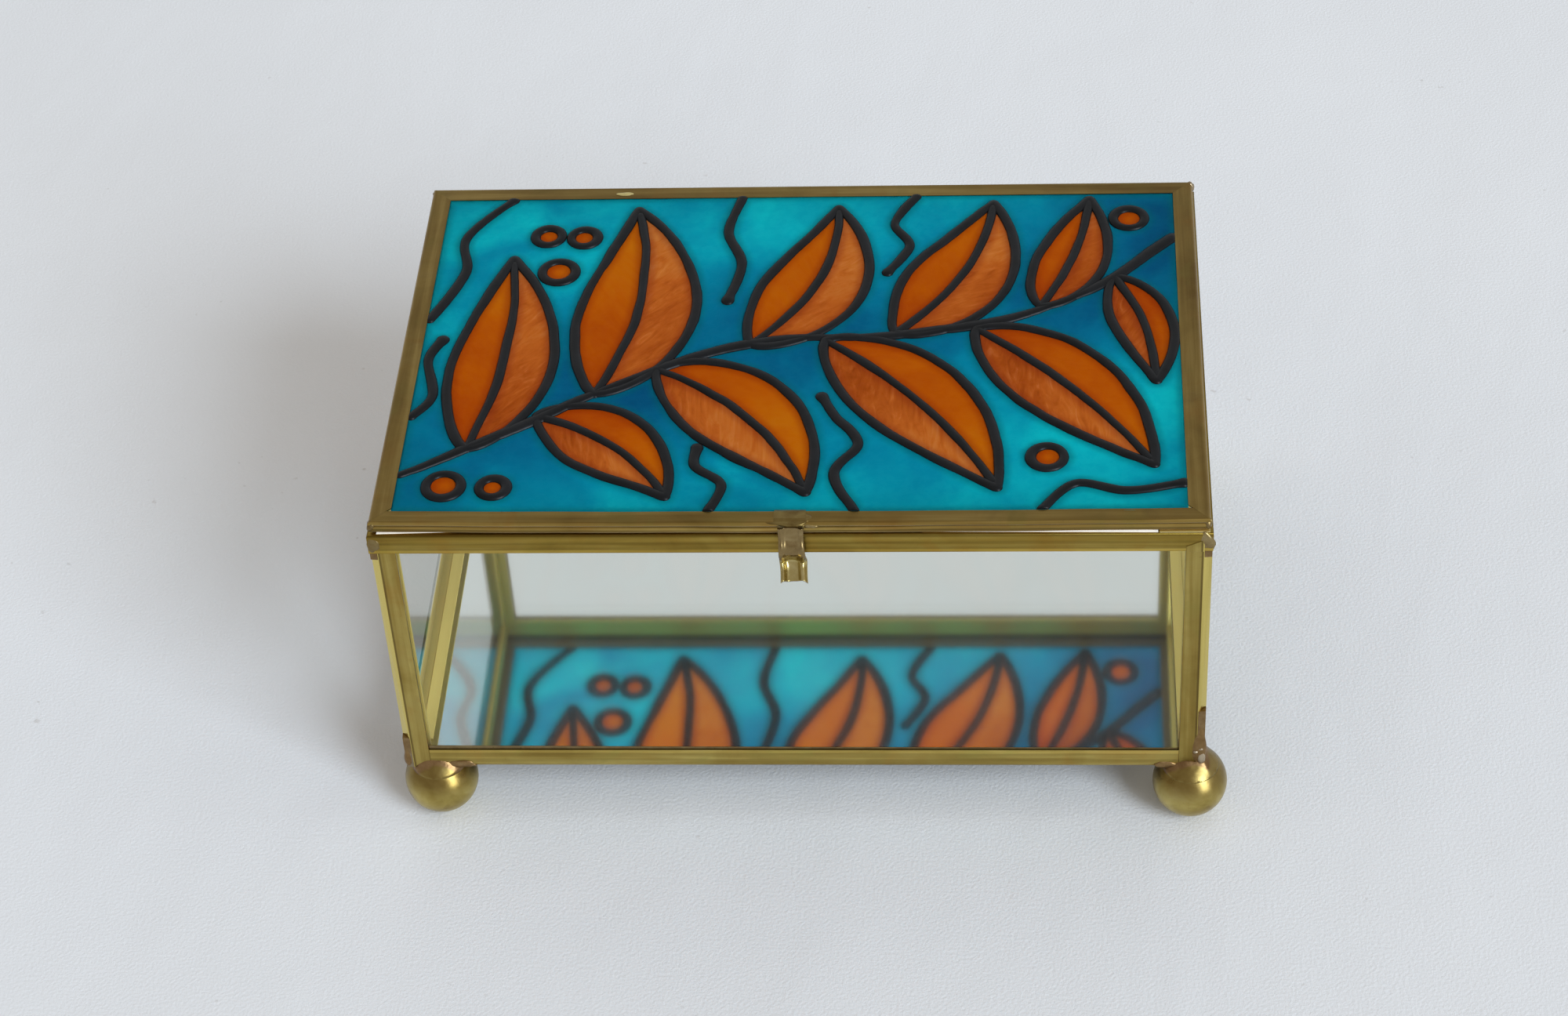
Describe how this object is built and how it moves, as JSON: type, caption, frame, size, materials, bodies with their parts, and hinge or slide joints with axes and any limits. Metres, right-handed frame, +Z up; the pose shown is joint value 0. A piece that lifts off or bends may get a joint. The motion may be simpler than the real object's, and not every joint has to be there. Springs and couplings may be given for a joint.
{
  "type": "glass_trinket_box",
  "caption": "Glass casket box with brass cames, ball feet, mirror floor, hinged glass-painted lid and spring clasp",
  "frame": {"origin": "on the table, under the middle of the frame", "axes": "+X to the right along the hinge, +Y to the hinge side, +Z up"},
  "size_m": [0.1577, 0.1077, 0.0749],
  "materials": {
    "glass": "clear float glass, faintly green at the edges",
    "mirror": "silvered glass",
    "backing": "matt grey backing paint over the silver",
    "brass": "aged, satin, streaky",
    "foot_brass": "satin, turned",
    "clasp_brass": "bright, worn",
    "wire": "dull drawn wire",
    "solder": "soft solder, dull with brown flux stain",
    "paint_teal": "translucent glass paint",
    "paint_amber": "translucent glass paint",
    "paint_copper": "pearly glass paint with brush marks",
    "outline": "raised black outliner, satin"
  },
  "bodies": {
    "box": {"floor_mirror": "mirror", "mirror_backing": "backing", "front_pane": "glass", "rear_pane": "glass", "left_pane": "glass", "right_pane": "glass", "bottom_came_front": "brass", "bottom_came_rear": "brass", "bottom_came_left": "brass", "bottom_came_right": "brass", "rim_came_front": "brass", "rim_came_rear": "brass", "rim_came_left": "brass", "rim_came_right": "brass", "post_front_left": "brass", "post_front_right": "brass", "post_rear_left": "brass", "post_rear_right": "brass", "ball_foot_front_left": "foot_brass", "ball_foot_front_right": "foot_brass", "ball_foot_rear_left": "foot_brass", "ball_foot_rear_right": "foot_brass", "foot_solder": "solder", "corner_solder": "solder", "hinge_knuckle_left": "brass", "hinge_knuckle_right": "brass", "knuckle_solder": "solder", "hinge_wire": "wire"},
    "lid": {"lid_glass": "glass", "lid_paint_teal": "paint_teal", "lid_paint_amber": "paint_amber", "lid_paint_copper": "paint_copper", "lid_outline": "outline", "lid_came_front": "brass", "lid_came_rear": "brass", "lid_came_left": "brass", "lid_came_right": "brass", "lid_hinge_tube": "brass", "lid_hinge_solder": "solder", "clasp_solder": "solder"},
    "clasp": {"clasp_spring": "clasp_brass"}
  },
  "joints": [
    {"name": "lid_hinge", "type": "hinge", "parent": "box", "child": "lid", "pos_m": [0, 0.0503, 0.07125], "axis": [-1, 0, 0], "range_deg": [0, 180]},
    {"name": "clasp_flex", "type": "hinge", "parent": "lid", "child": "clasp", "pos_m": [0.00085, -0.049, 0.0737], "axis": [-1, 0, 0], "range_deg": [0, 8], "stiffness_Nm_per_rad": 0.17}
  ]
}
